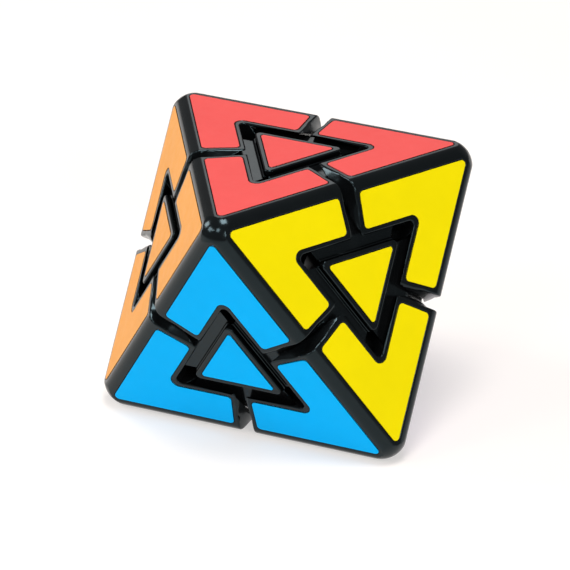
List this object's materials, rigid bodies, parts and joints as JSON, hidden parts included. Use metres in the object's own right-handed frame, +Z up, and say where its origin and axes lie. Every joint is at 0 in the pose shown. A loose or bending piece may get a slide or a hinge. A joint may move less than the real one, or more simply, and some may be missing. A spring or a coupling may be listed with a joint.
{
  "type": "octahedral twisty puzzle",
  "caption": "Eight-sided twisty puzzle that turns about its corners, with coloured chevron and triangle tiles on black plastic.",
  "frame": {"origin": "centre of the puzzle, where its six turning axes meet", "axes": "+Z up, square to the top and bottom faces, which are level; -Y towards the front, where one top vertex points"},
  "size_m": [0.075, 0.0848, 0.0626],
  "materials": {
    "black_plastic": "black injection moulded ABS, semi-gloss, faint moulding texture",
    "inner_plastic": "black moulded nylon, satin, unseen",
    "screw_steel": "zinc plated steel",
    "spring_steel": "drawn spring steel wire",
    "tile_red": "smooth satin red tile, flat, let into the black plastic",
    "tile_yellow": "smooth satin yellow tile, flat, let into the black plastic",
    "tile_blue": "smooth satin blue tile, flat, let into the black plastic",
    "tile_orange": "smooth satin orange tile, flat, let into the black plastic",
    "tile_green": "smooth satin green tile, flat, let into the black plastic",
    "tile_violet": "smooth satin violet tile, flat, let into the black plastic",
    "tile_white": "smooth satin white tile, flat, let into the black plastic",
    "tile_pink": "smooth satin pink tile, flat, let into the black plastic"
  },
  "bodies": {
    "core": {"core_spider": "inner_plastic", "axle_screws": "screw_steel", "tension_springs": "spring_steel", "spring_washers": "screw_steel"},
    "vertex_front_top": {"vertex_shell_front_top": "black_plastic", "vertex_base_front_top": "inner_plastic", "vertex_tiles_front_top": "tile_blue"},
    "vertex_back_low": {"vertex_shell_back_low": "black_plastic", "vertex_base_back_low": "inner_plastic", "vertex_tiles_back_low": "tile_green"},
    "vertex_right_top": {"vertex_shell_right_top": "black_plastic", "vertex_base_right_top": "inner_plastic", "vertex_tiles_right_top": "tile_yellow"},
    "vertex_left_low": {"vertex_shell_left_low": "black_plastic", "vertex_base_left_low": "inner_plastic", "vertex_tiles_left_low": "tile_orange"},
    "vertex_left_top": {"vertex_shell_left_top": "black_plastic", "vertex_base_left_top": "inner_plastic", "vertex_tiles_left_top": "tile_red"},
    "vertex_right_low": {"vertex_shell_right_low": "black_plastic", "vertex_base_right_low": "inner_plastic", "vertex_tiles_right_low": "tile_violet"},
    "hidden_edge_top_to_right": {"edge_top_to_right": "black_plastic"},
    "hidden_edge_left_to_front": {"edge_left_to_front": "black_plastic"},
    "hidden_edge_back_to_back_right": {"edge_back_to_back_right": "black_plastic"},
    "hidden_edge_back_left_to_bottom": {"edge_back_left_to_bottom": "black_plastic"},
    "hidden_edge_top_to_back": {"edge_top_to_back": "black_plastic"},
    "hidden_edge_right_to_back_right": {"edge_right_to_back_right": "black_plastic"},
    "hidden_edge_left_to_back_left": {"edge_left_to_back_left": "black_plastic"},
    "hidden_edge_front_to_bottom": {"edge_front_to_bottom": "black_plastic"},
    "hidden_edge_top_to_left": {"edge_top_to_left": "black_plastic"},
    "hidden_edge_back_to_back_left": {"edge_back_to_back_left": "black_plastic"},
    "hidden_edge_right_to_front": {"edge_right_to_front": "black_plastic"},
    "hidden_edge_back_right_to_bottom": {"edge_back_right_to_bottom": "black_plastic"},
    "face_top": {"face_cap_top": "black_plastic", "face_foot_top": "inner_plastic", "face_tile_top": "tile_red"},
    "face_right": {"face_cap_right": "black_plastic", "face_foot_right": "inner_plastic", "face_tile_right": "tile_yellow"},
    "face_front": {"face_cap_front": "black_plastic", "face_foot_front": "inner_plastic", "face_tile_front": "tile_blue"},
    "face_left": {"face_cap_left": "black_plastic", "face_foot_left": "inner_plastic", "face_tile_left": "tile_orange"},
    "face_back": {"face_cap_back": "black_plastic", "face_foot_back": "inner_plastic", "face_tile_back": "tile_green"},
    "face_back_right": {"face_cap_back_right": "black_plastic", "face_foot_back_right": "inner_plastic", "face_tile_back_right": "tile_violet"},
    "face_back_left": {"face_cap_back_left": "black_plastic", "face_foot_back_left": "inner_plastic", "face_tile_back_left": "tile_white"},
    "face_bottom": {"face_cap_bottom": "black_plastic", "face_foot_bottom": "inner_plastic", "face_tile_bottom": "tile_pink"}
  },
  "joints": [
    {"name": "turn_front_top", "type": "hinge", "parent": "core", "child": "vertex_front_top", "pos_m": [0, 0, 0], "axis": [0, -0.8165, 0.5774], "continuous": true},
    {"name": "turn_back_low", "type": "hinge", "parent": "core", "child": "vertex_back_low", "pos_m": [0, 0, 0], "axis": [0, 0.8165, -0.5774], "continuous": true},
    {"name": "turn_right_top", "type": "hinge", "parent": "core", "child": "vertex_right_top", "pos_m": [0, 0, 0], "axis": [0.7071, 0.4082, 0.5774], "continuous": true},
    {"name": "turn_left_low", "type": "hinge", "parent": "core", "child": "vertex_left_low", "pos_m": [0, 0, 0], "axis": [-0.7071, -0.4082, -0.5774], "continuous": true},
    {"name": "turn_left_top", "type": "hinge", "parent": "core", "child": "vertex_left_top", "pos_m": [0, 0, 0], "axis": [-0.7071, 0.4082, 0.5774], "continuous": true},
    {"name": "turn_right_low", "type": "hinge", "parent": "core", "child": "vertex_right_low", "pos_m": [0, 0, 0], "axis": [0.7071, -0.4082, -0.5774], "continuous": true},
    {"name": "carry_edge_top_to_right", "type": "hinge", "parent": "vertex_front_top", "child": "hidden_edge_top_to_right", "pos_m": [0, 0, 0], "axis": [0.7071, 0.4082, 0.5774], "continuous": true},
    {"name": "carry_edge_left_to_front", "type": "hinge", "parent": "vertex_front_top", "child": "hidden_edge_left_to_front", "pos_m": [0, 0, 0], "axis": [-0.7071, -0.4082, -0.5774], "continuous": true},
    {"name": "carry_edge_back_to_back_right", "type": "hinge", "parent": "vertex_back_low", "child": "hidden_edge_back_to_back_right", "pos_m": [0, 0, 0], "axis": [0.7071, 0.4082, 0.5774], "continuous": true},
    {"name": "carry_edge_back_left_to_bottom", "type": "hinge", "parent": "vertex_back_low", "child": "hidden_edge_back_left_to_bottom", "pos_m": [0, 0, 0], "axis": [-0.7071, -0.4082, -0.5774], "continuous": true},
    {"name": "carry_edge_top_to_back", "type": "hinge", "parent": "vertex_right_top", "child": "hidden_edge_top_to_back", "pos_m": [0, 0, 0], "axis": [-0.7071, 0.4082, 0.5774], "continuous": true},
    {"name": "carry_edge_right_to_back_right", "type": "hinge", "parent": "vertex_right_top", "child": "hidden_edge_right_to_back_right", "pos_m": [0, 0, 0], "axis": [0.7071, -0.4082, -0.5774], "continuous": true},
    {"name": "carry_edge_left_to_back_left", "type": "hinge", "parent": "vertex_left_low", "child": "hidden_edge_left_to_back_left", "pos_m": [0, 0, 0], "axis": [-0.7071, 0.4082, 0.5774], "continuous": true},
    {"name": "carry_edge_front_to_bottom", "type": "hinge", "parent": "vertex_left_low", "child": "hidden_edge_front_to_bottom", "pos_m": [0, 0, 0], "axis": [0.7071, -0.4082, -0.5774], "continuous": true},
    {"name": "carry_edge_top_to_left", "type": "hinge", "parent": "vertex_left_top", "child": "hidden_edge_top_to_left", "pos_m": [0, 0, 0], "axis": [0, -0.8165, 0.5774], "continuous": true},
    {"name": "carry_edge_back_to_back_left", "type": "hinge", "parent": "vertex_left_top", "child": "hidden_edge_back_to_back_left", "pos_m": [0, 0, 0], "axis": [0, 0.8165, -0.5774], "continuous": true},
    {"name": "carry_edge_right_to_front", "type": "hinge", "parent": "vertex_right_low", "child": "hidden_edge_right_to_front", "pos_m": [0, 0, 0], "axis": [0, -0.8165, 0.5774], "continuous": true},
    {"name": "carry_edge_back_right_to_bottom", "type": "hinge", "parent": "vertex_right_low", "child": "hidden_edge_back_right_to_bottom", "pos_m": [0, 0, 0], "axis": [0, 0.8165, -0.5774], "continuous": true},
    {"name": "carry_face_top", "type": "hinge", "parent": "hidden_edge_top_to_right", "child": "face_top", "pos_m": [0, 0, 0], "axis": [-0.7071, 0.4082, 0.5774], "continuous": true},
    {"name": "carry_face_right", "type": "hinge", "parent": "hidden_edge_top_to_right", "child": "face_right", "pos_m": [0, 0, 0], "axis": [0.7071, -0.4082, -0.5774], "continuous": true},
    {"name": "carry_face_front", "type": "hinge", "parent": "hidden_edge_left_to_front", "child": "face_front", "pos_m": [0, 0, 0], "axis": [0.7071, -0.4082, -0.5774], "continuous": true},
    {"name": "carry_face_left", "type": "hinge", "parent": "hidden_edge_left_to_front", "child": "face_left", "pos_m": [0, 0, 0], "axis": [-0.7071, 0.4082, 0.5774], "continuous": true},
    {"name": "carry_face_back", "type": "hinge", "parent": "hidden_edge_back_to_back_right", "child": "face_back", "pos_m": [0, 0, 0], "axis": [-0.7071, 0.4082, 0.5774], "continuous": true},
    {"name": "carry_face_back_right", "type": "hinge", "parent": "hidden_edge_back_to_back_right", "child": "face_back_right", "pos_m": [0, 0, 0], "axis": [0.7071, -0.4082, -0.5774], "continuous": true},
    {"name": "carry_face_back_left", "type": "hinge", "parent": "hidden_edge_back_left_to_bottom", "child": "face_back_left", "pos_m": [0, 0, 0], "axis": [-0.7071, 0.4082, 0.5774], "continuous": true},
    {"name": "carry_face_bottom", "type": "hinge", "parent": "hidden_edge_back_left_to_bottom", "child": "face_bottom", "pos_m": [0, 0, 0], "axis": [0.7071, -0.4082, -0.5774], "continuous": true}
  ],
  "couplings": [
    {"joint": "carry_edge_top_to_right", "follows": "turn_right_top", "ratio": 1},
    {"joint": "carry_edge_left_to_front", "follows": "turn_left_low", "ratio": 1},
    {"joint": "carry_edge_back_to_back_right", "follows": "turn_right_top", "ratio": 1},
    {"joint": "carry_edge_back_left_to_bottom", "follows": "turn_left_low", "ratio": 1},
    {"joint": "carry_edge_top_to_back", "follows": "turn_left_top", "ratio": 1},
    {"joint": "carry_edge_right_to_back_right", "follows": "turn_right_low", "ratio": 1},
    {"joint": "carry_edge_left_to_back_left", "follows": "turn_left_top", "ratio": 1},
    {"joint": "carry_edge_front_to_bottom", "follows": "turn_right_low", "ratio": 1},
    {"joint": "carry_edge_top_to_left", "follows": "turn_front_top", "ratio": 1},
    {"joint": "carry_edge_back_to_back_left", "follows": "turn_back_low", "ratio": 1},
    {"joint": "carry_edge_right_to_front", "follows": "turn_front_top", "ratio": 1},
    {"joint": "carry_edge_back_right_to_bottom", "follows": "turn_back_low", "ratio": 1},
    {"joint": "carry_face_top", "follows": "turn_left_top", "ratio": 1},
    {"joint": "carry_face_right", "follows": "turn_right_low", "ratio": 1},
    {"joint": "carry_face_front", "follows": "turn_right_low", "ratio": 1},
    {"joint": "carry_face_left", "follows": "turn_left_top", "ratio": 1},
    {"joint": "carry_face_back", "follows": "turn_left_top", "ratio": 1},
    {"joint": "carry_face_back_right", "follows": "turn_right_low", "ratio": 1},
    {"joint": "carry_face_back_left", "follows": "turn_left_top", "ratio": 1},
    {"joint": "carry_face_bottom", "follows": "turn_right_low", "ratio": 1}
  ]
}
